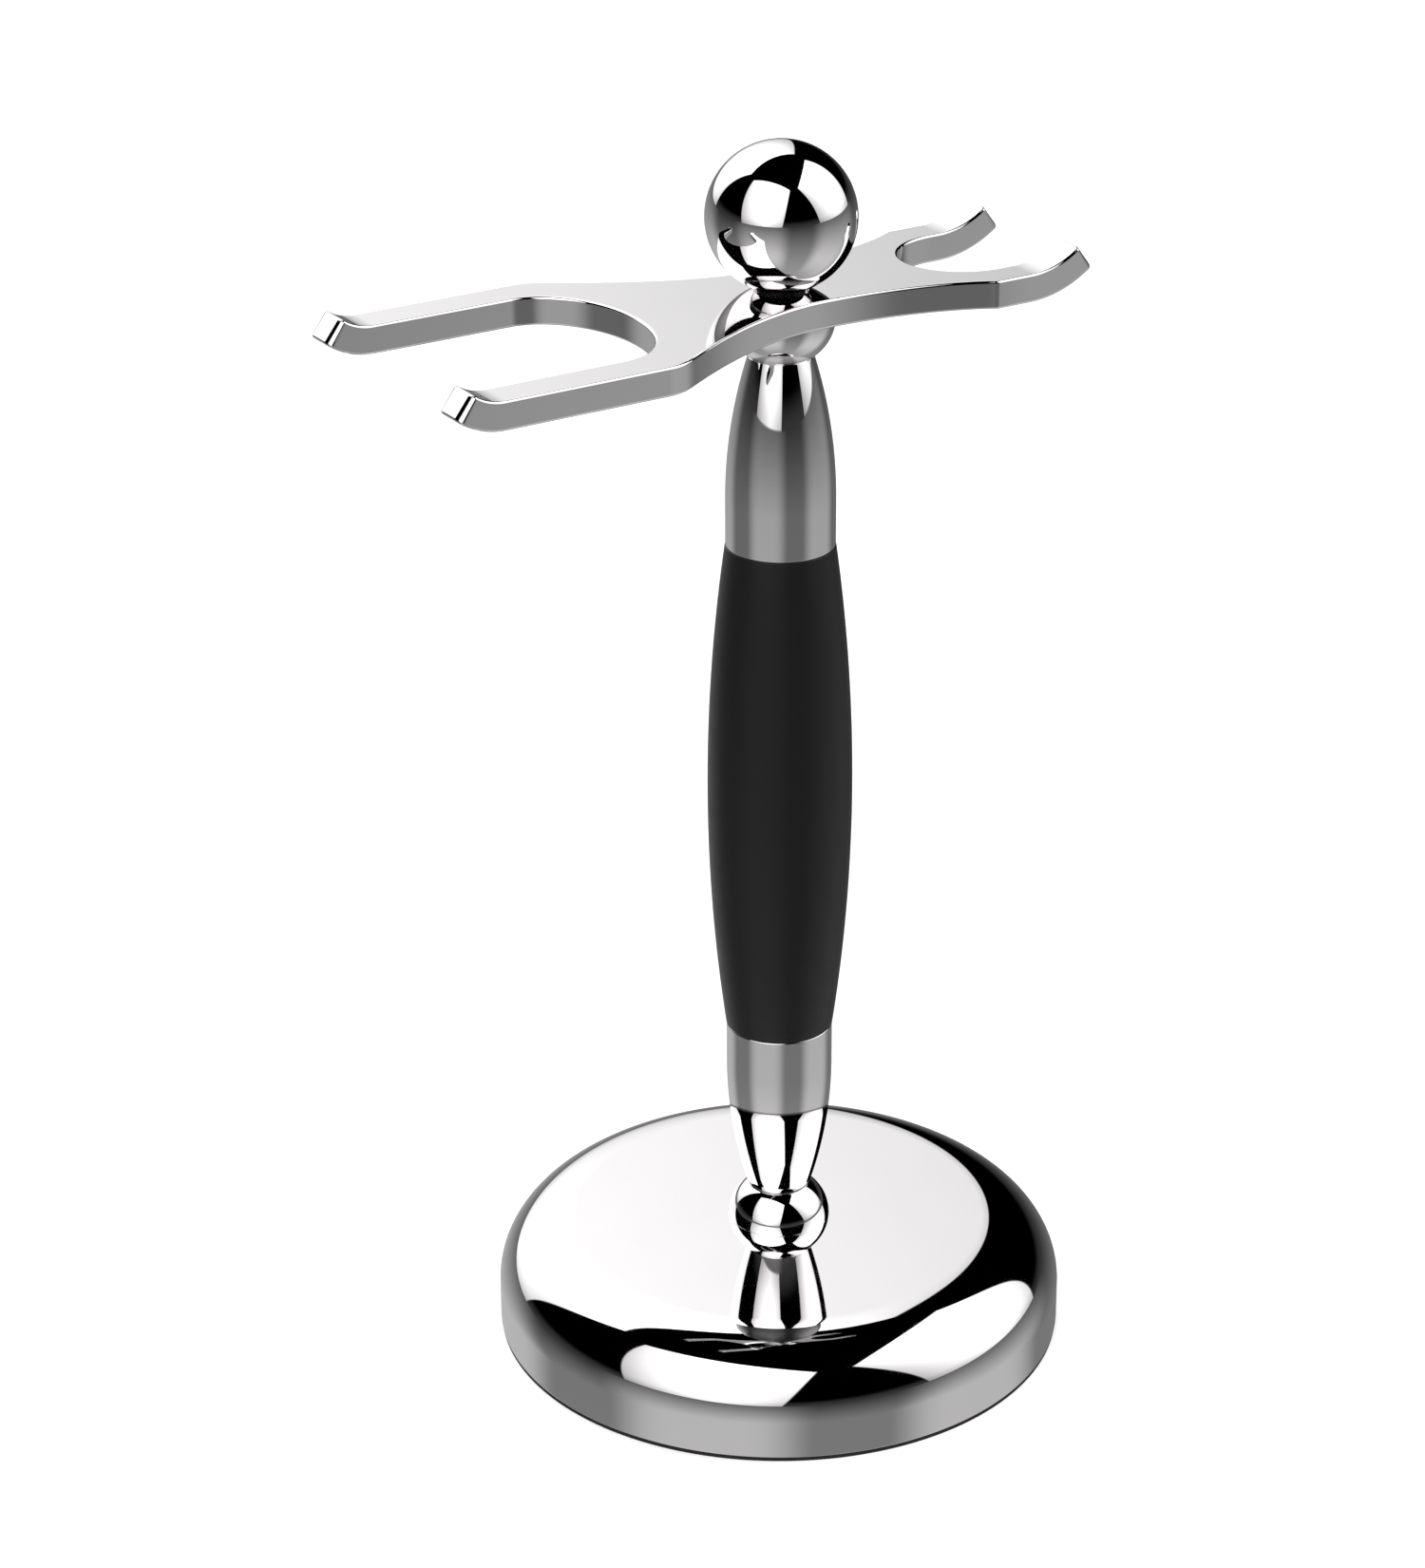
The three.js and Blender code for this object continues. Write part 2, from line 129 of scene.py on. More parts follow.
CHROME_SHADES = ((0.900, 0.883, 0.892), (0.938, 0.921, 0.930))
CHROME_ROUGHNESS = (0.012, 0.045)
RESIN_SHADES = ((0.0135, 0.0122, 0.0128), (0.0215, 0.0198, 0.0206))
RESIN_ROUGHNESS = (0.30, 0.38)
RESIN_SPECULAR = 0.3
FOAM_SHADES = ((0.012, 0.012, 0.012), (0.035, 0.035, 0.034))
FOAM_ROUGHNESS = 0.9
STEEL_SHADES = ((0.50, 0.51, 0.53), (0.66, 0.67, 0.69))
STEEL_ROUGHNESS = (0.28, 0.42)
IRON_SHADES = ((0.10, 0.10, 0.10), (0.22, 0.21, 0.20))
IRON_ROUGHNESS = (0.6, 0.8)
BRASS_SHADES = ((0.62, 0.46, 0.18), (0.78, 0.62, 0.30))
BRASS_ROUGHNESS = (0.22, 0.38)
NYLON_SHADES = ((0.014, 0.014, 0.014), (0.024, 0.024, 0.024))
NYLON_ROUGHNESS = (0.45, 0.6)
NOISE_MIDDLE = (0.3, 0.7)

# ---------- view and floor ----------

VIEW_AZIMUTH = math.radians(32.4)
CAMERA_PLACE = (-0.2464, -0.3831, 0.2804)
CAMERA_TILT = math.radians(65.48)
CAMERA_LENS = 96.35
CAMERA_SENSOR = 36.0
CAMERA_SHIFT_X = -0.0282
CAMERA_CLIP = (0.01, 50.0)
FLOOR_HALF = 3.0
PAPER_COLOUR = (0.8, 0.8, 0.8, 1)
PAPER_GLOW = 0.55


# ---------- mesh helpers ----------


def node_size(node):
    """(radius, bottom, top) of a turned CAD node that stands on the Z axis."""
    low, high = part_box(node)
    return high.x, low.z, high.z


def arc(centre, radii, start, end, steps):
    """Points on an elliptical arc, angles in degrees."""
    points = []
    for i in range(steps + 1):
        angle = math.radians(start + (end - start) * i / steps)
        points.append((centre[0] + radii[0] * math.cos(angle), centre[1] + radii[1] * math.sin(angle)))
    return points


def eased(points, radius, closed):
    """Rounds every sharp corner of an outline with an arc of at most that radius."""
    made = []
    count = len(points)
    for i, point in enumerate(points):
        here = Vector(point)
        if not closed and i in (0, count - 1):
            made.append(here)
            continue
        back = Vector(points[i - 1]) - here
        ahead = Vector(points[(i + 1) % count]) - here
        turn = math.pi - back.angle(ahead)
        if turn < SHARP_TURN:
            made.append(here)
            continue
        room = EDGE_SHARE * min(back.length, ahead.length)
        reach = min(room, radius * math.tan(turn / 2))
        start = here + back.normalized() * reach
        end = here + ahead.normalized() * reach
        fillet = reach / math.tan(turn / 2)
        inward = (back.normalized() + ahead.normalized()).normalized()
        centre = here + inward * fillet / math.cos(turn / 2)
        spoke = start - centre
        sweep = spoke.angle_signed(end - centre)
        for k in range(EDGE_STEPS + 1):
            angle = -sweep * k / EDGE_STEPS
            turned = Vector((
                spoke.x * math.cos(angle) - spoke.y * math.sin(angle),
                spoke.x * math.sin(angle) + spoke.y * math.cos(angle),
            ))
            made.append(centre + turned)
    return made


def outline_normals(points, closed=True):
    """The normal to the left of the path at each point, each edge counting by its length."""
    count = len(points)
    normals = []
    for i, point in enumerate(points):
        total = Vector((0, 0))
        if closed or i > 0:
            edge = Vector(point) - Vector(points[i - 1])
            total += Vector((-edge.y, edge.x))
        if closed or i < count - 1:
            edge = Vector(points[(i + 1) % count]) - Vector(point)
            total += Vector((-edge.y, edge.x))
        normals.append(total.normalized())
    return normals


def mesh_object(name, vertices, faces, normals=None):
    """A closed smooth mesh with its faces pointing out, with exact vertex normals if they are given."""
    mesh = bpy.data.meshes.new(name)
    mesh.from_pydata([tuple(v) for v in vertices], [], faces)
    mesh.update()
    shape = bmesh.new()
    shape.from_mesh(mesh)
    bmesh.ops.recalc_face_normals(shape, faces=shape.faces)
    shape.to_mesh(mesh)
    shape.free()
    mesh.shade_smooth()
    if normals is not None:
        mesh.normals_split_custom_set_from_vertices([tuple(n) for n in normals])
    made = bpy.data.objects.new(name, mesh)
    bpy.context.scene.collection.objects.link(made)
    return made


def turned(name, outline, edge, segments=ROUND_SEGMENTS):
    """A piece turned on the Z axis from (radius, height) points, running anticlockwise.
    The outline closes on itself, or starts and ends on the axis."""
    on_axis = outline[0][0] == 0 and outline[-1][0] == 0
    points = eased(outline, edge, closed=not on_axis)
    slopes = outline_normals(points, closed=not on_axis)
    vertices, normals, rings = [], [], []
    for (radius, height), slope in zip(points, slopes):
        if radius < ON_AXIS:
            vertices.append((0, 0, height))
            normals.append((0, 0, -1 if slope.y > 0 else 1))
            rings.append([len(vertices) - 1] * segments)
            continue
        rings.append(list(range(len(vertices), len(vertices) + segments)))
        for k in range(segments):
            angle = 2 * math.pi * k / segments
            across, along = math.cos(angle), math.sin(angle)
            vertices.append((radius * across, radius * along, height))
            normals.append((-slope.x * across, -slope.x * along, -slope.y))
    faces = []
    pairs = list(zip(rings, rings[1:]))
    if not on_axis:
        pairs.append((rings[-1], rings[0]))
    for lower, upper in pairs:
        for k in range(segments):
            nxt = (k + 1) % segments
            corners = [lower[k], lower[nxt], upper[nxt], upper[k]]
            face = [c for n, c in enumerate(corners) if c not in corners[:n]]
            if len(face) > 2:
                faces.append(face)
    return mesh_object(name, vertices, faces, normals)


def finish_piece(piece, body, material, node):
    """Gives a piece its material and body, and hides the CAD node it stands for."""
    piece.data.materials.append(material)
    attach(piece, body)
    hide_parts(node)


# ---------- base and stem ----------


def stood(outline, bottom, top, upside_down):
    """Stands an outline drawn from height 0 on its node's bottom, or hangs it from its top."""
    if upside_down:
        return [(r, top - z) for r, z in reversed(outline)]
    return [(r, bottom + z) for r, z in outline]


def base_shell():
    """Flat top, rounded shoulder, straight wall, and open underneath."""
    radius, bottom, top = node_size("base_shell")
    across, down = BASE_SHOULDER
    centre = (radius - across, top - down)
    inner = (across - SHELL_WALL, down - SHELL_WALL)
    outline = [(radius - SHELL_WALL, bottom), (radius, bottom)]
    outline += arc(centre, BASE_SHOULDER, 0, 90, SHOULDER_STEPS)
    outline += [(ROD_HOLE, top), (ROD_HOLE, top - SHELL_WALL)]
    outline += arc(centre, inner, 90, 0, SHELL_INSIDE_STEPS)
    return turned("visual_base_shell", outline, SHELL_EDGE)


def round_disc(node, edge):
    radius, bottom, top = node_size(node)
    outline = [(0, bottom), (radius, bottom), (radius, top), (0, top)]
    return turned("visual_" + node, outline, edge)


def dome_collar(node, upside_down):
    """Half of a slightly flattened ball, cut off where the ferrule's neck meets it."""
    radius, bottom, top = node_size(node)
    height = top - bottom
    neck = math.acos(NECK_RADIUS / radius)
    skin = arc((0, 0), (radius, height / math.sin(neck)), 0, math.degrees(neck), DOME_STEPS)
    outline = [(ROD_HOLE, 0)] + skin + [(ROD_HOLE, height)]
    return turned("visual_" + node, stood(outline, bottom, top, upside_down), DOME_EDGE)


def ferrule(node, bore, upside_down):
    """Narrows in one long arc from its straight collar; the spigot goes into the grip."""
    radius, bottom, top = node_size(node)
    length = top - bottom - SPIGOT_LENGTH
    taper = length - FERRULE_COLLAR
    drop = radius - NECK_RADIUS
    curve = (taper**2 + drop**2) / (2 * drop)
    sweep = math.degrees(math.asin(taper / curve))
    outline = [(bore, 0)]
    outline += arc((radius - curve, taper), (curve, curve), -sweep, 0, FERRULE_STEPS)
    outline += [(radius, length), (SPIGOT_RADIUS, length)]
    outline += [(SPIGOT_RADIUS, length + SPIGOT_LENGTH), (bore, length + SPIGOT_LENGTH)]
    return turned("visual_" + node, stood(outline, bottom, top, upside_down), FERRULE_EDGE)


def grip():
    """One long swell, with a socket at each end for a ferrule's spigot."""
    radius, bottom, top = node_size("grip")
    half = (top - bottom) / 2
    swell = radius - GRIP_END_RADIUS
    curve = (half**2 + swell**2) / (2 * swell)
    sweep = math.degrees(math.asin(half / curve))
    socket, shelf = GRIP_SOCKET
    outline = [(socket, bottom)]
    outline += arc((radius - curve, bottom + half), (curve, curve), -sweep, sweep, GRIP_STEPS)
    outline += [(socket, top), (socket, top - shelf), (GRIP_BORE, top - shelf)]
    outline += [(GRIP_BORE, bottom + shelf), (socket, bottom + shelf)]
    return turned("visual_grip", outline, GRIP_EDGE)


def tie_rod():
    """Plain below, and cut with a right-hand V thread at the top that takes the ball."""
    radius, bottom, top = node_size("tie_rod")
    segments = ROD_SEGMENTS
    thread_start = top - THREADED_LENGTH
    heights = [bottom, bottom + ROD_CHAMFER, thread_start]
    step = THREAD_PITCH / THREAD_ROWS
    rows = round(THREADED_LENGTH / step)
    heights += [thread_start + step * (i + 1) for i in range(rows)]
    vertices, faces = [(0, 0, bottom)], []
    for height in heights:
        for k in range(segments):
            turn = k / segments
            phase = ((height - thread_start) / THREAD_PITCH - turn) % 1
            crest = min(1, max(0, THREAD_CREST - THREAD_FLANK * abs(phase - 0.5)))
            fade = min(1, max(0, (height - thread_start) / THREAD_PITCH))
            cut = THREAD_DEPTH * fade * (1 - crest)
            end_room = min(height - bottom, top - height)
            cone = radius - max(0, ROD_CHAMFER - end_room)
            reach = min(radius - cut, cone)
            angle = 2 * math.pi * turn
            vertices.append((reach * math.cos(angle), reach * math.sin(angle), height))
    vertices.append((0, 0, top))
    last = len(vertices) - 1
    for k in range(segments):
        nxt = (k + 1) % segments
        faces.append((0, 1 + nxt, 1 + k))
        for row in range(len(heights) - 1):
            low, high = 1 + row * segments, 1 + (row + 1) * segments
            faces.append((low + k, low + nxt, high + nxt, high + k))
        faces.append((last, last - segments + k, last - segments + nxt))
    piece = mesh_object("visual_tie_rod", vertices, faces)
    piece.data.set_sharp_from_angle(angle=THREAD_CREASE)
    return piece


def finial_washer():
    radius, bottom, top = node_size("finial_washer")
    outline = [(ROD_HOLE, bottom), (radius, bottom), (radius, top), (ROD_HOLE, top)]
    return turned("visual_finial_washer", outline, WASHER_EDGE, WASHER_SEGMENTS)


def ball_finial():
    """A ball with a small flat to sit on and a blind hole for the rod."""
    radius, bottom, top = node_size("ball_finial")
    centre = top - BALL_RADIUS
    hole_end = bottom + BALL_HOLE_DEPTH
    seat_angle = math.degrees(math.asin((bottom - centre) / BALL_RADIUS))
    outline = [(0, hole_end), (TAPPED_HOLE, hole_end), (TAPPED_HOLE, bottom)]
    outline += arc((0, centre), (BALL_RADIUS, BALL_RADIUS), seat_angle, 90, BALL_STEPS)[:-1]
    outline.append((0, top))
    return turned("visual_ball_finial", outline, BALL_EDGE, BALL_SEGMENTS)


# ---------- fork plate ----------


class Fork:
    """One end of the plate: a slot between two tines whose ends curl up. Sizes are given in mm."""

    def __init__(self, outward, slot_half, outer_half, slot_centre, slot_depth, bend_x, bend_radius):
        self.outward = outward
        self.slot_half = slot_half * MM
        self.outer_half = outer_half * MM
        self.slot_centre = slot_centre * MM
        self.slot_depth = slot_depth * MM
        self.bend_x = bend_x * MM
        self.bend_radius = bend_radius * MM
        self.middle_radius = self.bend_radius + PLATE_THICKNESS / 2
        self.curl_length = TIP_ANGLE * self.middle_radius

    def slot_end(self, steps):
        """From the closed end on the middle line round to the slot's straight edge."""
        points = arc((0, 0), (self.slot_depth, self.slot_half), 0, 90, steps)
        return [(self.slot_centre - self.outward * x, y) for x, y in points]

    def tine(self):
        """(inner edge, outer edge) of the +Y tine, from the bend to the tip, flattened out."""
        inner, outer = [], []
        length, width = TIP_CORNER
        straight = self.curl_length - length
        for i in range(CURL_STEPS + 1):
            along = straight * i / CURL_STEPS
            inner.append((along, self.slot_half))
            outer.append((along, self.outer_half))
        for i in range(1, TIP_STEPS + 1):
            angle = math.pi / 2 * i / TIP_STEPS
            along = straight + length * math.sin(angle)
            inset = width * (1 - math.cos(angle))
            inner.append((along, self.slot_half + inset))
            outer.append((along, self.outer_half - inset))
        return self.from_bend(inner), self.from_bend(outer)

    def from_bend(self, edge):
        """Points given by how far they lie beyond the bend."""
        return [(self.bend_x + self.outward * along, y) for along, y in edge]

    def curl(self, point, normal, plate_top):
        """Bends a point of the flattened plate, and its normal, up round the curl."""
        along = (point.x - self.bend_x) * self.outward
        if along <= 0:
            return point, normal
        angle = along / self.middle_radius
        radius = self.bend_radius + plate_top - point.z
        centre_z = plate_top + self.bend_radius
        x = self.bend_x + self.outward * radius * math.sin(angle)
        z = centre_z - radius * math.cos(angle)
        tilt = self.outward * angle
        bent = Vector((
            normal.x * math.cos(tilt) - normal.z * math.sin(tilt),
            normal.y,
            normal.x * math.sin(tilt) + normal.z * math.cos(tilt),
        ))
        return Vector((x, point.y, z)), bent


BRUSH_FORK = Fork(
    outward=-1,
    slot_half=12.6,
    outer_half=17.2,
    slot_centre=-28.0,
    slot_depth=8.4,
    bend_x=-45.2,
    bend_radius=6.3,
)
RAZOR_FORK = Fork(
    outward=1,
    slot_half=7.3,
    outer_half=11.4,
    slot_centre=25.4,
    slot_depth=8.1,
    bend_x=26.8,
    bend_radius=10.9,
)


def bezier(start, first, second, end, steps):
    """Points after start on a cubic curve."""
    points = []
    for i in range(1, steps + 1):
        t = i / steps
        weights = ((1 - t) ** 3, 3 * t * (1 - t) ** 2, 3 * t**2 * (1 - t), t**3)
        x = sum(w * p[0] for w, p in zip(weights, (start, first, second, end)))
        y = sum(w * p[1] for w, p in zip(weights, (start, first, second, end)))
        points.append((x, y))
    return points


def waist_edge():
    """The +Y side between the forks, from the brush fork's outer edge to the razor fork's."""
    curves = [[(x * MM, y * MM) for x, y in curve] for curve in WAIST_CURVES]
    points = [curves[0][0]]
    for curve, steps in zip(curves, WAIST_STEPS):
        points += bezier(*curve, steps)
    return points


def rim_profile():
    """(inset from the outline, depth below the top, tilt of the normal) down the plate's edge."""
    levels = []
    for i in range(RIM_STEPS + 1):
        angle = math.pi / 2 * i / RIM_STEPS
        inset = PLATE_RIM * (1 - math.sin(angle))
        depth = PLATE_RIM * (1 - math.cos(angle))
        levels.append((inset, depth, angle))
    under = []
    for inset, depth, angle in reversed(levels):
        under.append((inset, PLATE_THICKNESS - depth, math.pi - angle))
    return levels + under


def inset_line(points, outward):
    """The outline drawn in by the width of the rounded rim."""
    line = []
    for (x, y), lean in zip(points, outward):
        line.append(Vector((x - lean.x * PLATE_RIM, y - lean.y * PLATE_RIM, 0)))
    return line


def fork_plate():
    """The whole plate, drawn flat with a rounded rim and bent at both ends."""
    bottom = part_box("fork_plate")[0].z
    top = bottom + PLATE_THICKNESS
    brush_inner, brush_outer = BRUSH_FORK.tine()
    razor_inner, razor_outer = RAZOR_FORK.tine()

    half = BRUSH_FORK.slot_end(BRUSH_SLOT_STEPS)
    half += brush_inner
    half += list(reversed(brush_outer))
    half += waist_edge()
    half += razor_outer
    half += list(reversed(razor_inner))
    half += list(reversed(RAZOR_FORK.slot_end(RAZOR_SLOT_STEPS)))
    kept = half[:1]
    for before, point in zip(half, half[1:]):
        if (Vector(point) - Vector(before)).length > SAME_POINT:
            kept.append(point)
    mirrored = [(x, -y) for x, y in reversed(kept[1:-1])]
    outline = kept + mirrored
    outward = outline_normals(outline)
    hole = arc((0, 0), (ROD_HOLE, ROD_HOLE), 0, 360, HOLE_SEGMENTS)[:-1]
    hole_outward = outline_normals(hole)

    levels = rim_profile()
    vertices, normals, faces = [], [], []

    def add_wall(points, leans):
        """A rounded wall along a closed outline; returns its top and bottom rows of vertices."""
        first = len(vertices)
        rows = len(levels)
        for (x, y), lean in zip(points, leans):
            for inset, depth, angle in levels:
                place = Vector((x - lean.x * inset, y - lean.y * inset, top - depth))
                side = math.sin(angle)
                normal = Vector((lean.x * side, lean.y * side, math.cos(angle)))
                for fork in (BRUSH_FORK, RAZOR_FORK):
                    place, normal = fork.curl(place, normal, top)
                vertices.append(place)
                normals.append(normal)
        count = len(points)
        for i in range(count):
            here, ahead = first + i * rows, first + ((i + 1) % count) * rows
            for k in range(rows - 1):
                faces.append((here + k, ahead + k, ahead + k + 1, here + k + 1))
        upper = [first + i * rows for i in range(count)]
        lower = [i + rows - 1 for i in upper]
        return upper, lower

    outer_rows = add_wall(outline, outward)
    hole_rows = add_wall(hole, hole_outward)

    def find(point, side):
        """The outline's vertex nearest to a point, on the +Y or the -Y side."""
        wanted = Vector((point[0], side * point[1]))
        distances = [(Vector(corner) - wanted).length for corner in outline]
        return distances.index(min(distances))

    tines = []
    for inner, outer in ((brush_inner, brush_outer), (razor_inner, razor_outer)):
        for side in (1, -1):
            tines.append([(find(a, side), find(b, side)) for a, b in zip(inner, outer)])
    past_bend = {i for tine in tines for pair in tine[1:] for i in pair}
    flat = [i for i in range(len(outline)) if i not in past_bend]
    rim_line = inset_line(outline, outward)
    hole_line = inset_line(hole, hole_outward)
    triangles = tessellate_polygon([[rim_line[i] for i in flat], hole_line])
    for level in (0, 1):
        shared = [outer_rows[level][i] for i in flat] + hole_rows[level]
        faces.extend(tuple(shared[c] for c in triangle) for triangle in triangles)
        for tine in tines:
            for (a, b), (c, d) in zip(tine, tine[1:]):
                row = outer_rows[level]
                faces.append((row[a], row[b], row[d], row[c]))
    return mesh_object("visual_fork_plate", vertices, faces, normals)


# ---------- materials ----------


def principled(name, metallic=0.0):
    """A new material, its node tree and its Principled shader."""
    material = bpy.data.materials.new(name)
    material.use_nodes = True
    tree = material.node_tree
    shader = tree.nodes["Principled BSDF"]
    shader.inputs["Metallic"].default_value = metallic
    return material, tree, shader


def noise(tree, scale, detail, roughness=0.5, stretch=(1, 1, 1)):
    """Noise over the piece's own coordinates; scale is in cells a metre."""
    coordinates = tree.nodes.new("ShaderNodeTexCoord")
    mapping = tree.nodes.new("ShaderNodeMapping")
    mapping.inputs["Scale"].default_value = stretch
    texture = tree.nodes.new("ShaderNodeTexNoise")
    texture.inputs["Scale"].default_value = scale
    texture.inputs["Detail"].default_value = detail
    texture.inputs["Roughness"].default_value = roughness
    tree.links.new(coordinates.outputs["Object"], mapping.inputs["Vector"])
    tree.links.new(mapping.outputs["Vector"], texture.inputs["Vector"])
    return texture.outputs["Fac"]


def colour(tree, shader, value, shades):
    """Base colour between a dark and a light shade by a texture's value."""
    dark, light = shades
    node = tree.nodes.new("ShaderNodeMix")
    node.data_type = "RGBA"
    node.inputs["A"].default_value = (*dark, 1)
    node.inputs["B"].default_value = (*light, 1)
    tree.links.new(value, node.inputs["Factor"])
    tree.links.new(node.outputs["Result"], shader.inputs["Base Color"])


def roughness(tree, shader, value, limits):
    """Roughness between two limits, over the middle part of a texture's value."""
    node = tree.nodes.new("ShaderNodeMapRange")
    node.inputs["From Min"].default_value, node.inputs["From Max"].default_value = NOISE_MIDDLE
    node.inputs["To Min"].default_value, node.inputs["To Max"].default_value = limits
    tree.links.new(value, node.inputs["Value"])
    tree.links.new(node.outputs["Result"], shader.inputs["Roughness"])


def bump(tree, shader, value, depth, strength, under=None):
    """Fine relief of a given depth, laid over another relief if there is one."""
    node = tree.nodes.new("ShaderNodeBump")
    node.inputs["Distance"].default_value = depth
    node.inputs["Strength"].default_value = strength
    tree.links.new(value, node.inputs["Height"])
    if under is not None:
        tree.links.new(under, node.inputs["Normal"])
    tree.links.new(node.outputs["Normal"], shader.inputs["Normal"])
    return node.outputs["Normal"]


def chrome():
    """Mirror chrome plate with a slight haze and ripple."""
    material, tree, shader = principled("chrome_plate", metallic=1.0)
    cloud = noise(tree, scale=90, detail=3)
    colour(tree, shader, cloud, CHROME_SHADES)
    haze = noise(tree, scale=260, detail=6, roughness=0.6)
    roughness(tree, shader, haze, CHROME_ROUGHNESS)
    ripple = noise(tree, scale=120, detail=1)
    relief = bump(tree, shader, ripple, depth=0.0012 * MM, strength=0.5)
    grain = noise(tree, scale=5000, detail=2)
    bump(tree, shader, grain, depth=0.00004 * MM, strength=0.5, under=relief)
    return material


def black_resin():
    """Polished black resin with faint lathe marks."""
    material, tree, shader = principled("black_resin")
    swirl = noise(tree, scale=60, detail=5, roughness=0.6, stretch=(1, 1, 0.35))
    colour(tree, shader, swirl, RESIN_SHADES)
    haze = noise(tree, scale=400, detail=5, roughness=0.6)
    roughness(tree, shader, haze, RESIN_ROUGHNESS)
    shader.inputs["Specular IOR Level"].default_value = RESIN_SPECULAR
    lathe_marks = noise(tree, scale=500, detail=2, stretch=(0.1, 0.1, 8))
    relief = bump(tree, shader, lathe_marks, depth=0.002 * MM, strength=0.3)
    grain = noise(tree, scale=2500, detail=3)
    bump(tree, shader, grain, depth=0.001 * MM, strength=0.4, under=relief)
    return material


def foam_rubber():
    """Matt closed-cell foam."""
    material, tree, shader = principled("foam_rubber")
    cells = noise(tree, scale=2600, detail=4, roughness=0.6)
    colour(tree, shader, cells, FOAM_SHADES)
    shader.inputs["Roughness"].default_value = FOAM_ROUGHNESS
    bump(tree, shader, cells, depth=0.12 * MM, strength=0.6)
    return material


def plain_metal(name, shades, limits, grain_scale, depth):
    """A bare metal with uneven colour and a grain."""
    material, tree, shader = principled(name, metallic=1.0)
    patches = noise(tree, scale=350, detail=5, roughness=0.6)
    colour(tree, shader, patches, shades)
    roughness(tree, shader, patches, limits)
    grain = noise(tree, scale=grain_scale, detail=4, roughness=0.6)
    bump(tree, shader, grain, depth=depth, strength=0.5)
    return material


def black_nylon():
    """Matt black nylon."""
    material, tree, shader = principled("black_nylon")
    mottle = noise(tree, scale=1500, detail=4)
    colour(tree, shader, mottle, NYLON_SHADES)
    roughness(tree, shader, mottle, NYLON_ROUGHNESS)
    bump(tree, shader, mottle, depth=0.01 * MM, strength=0.4)
    return material


# ---------- world, floor and camera ----------


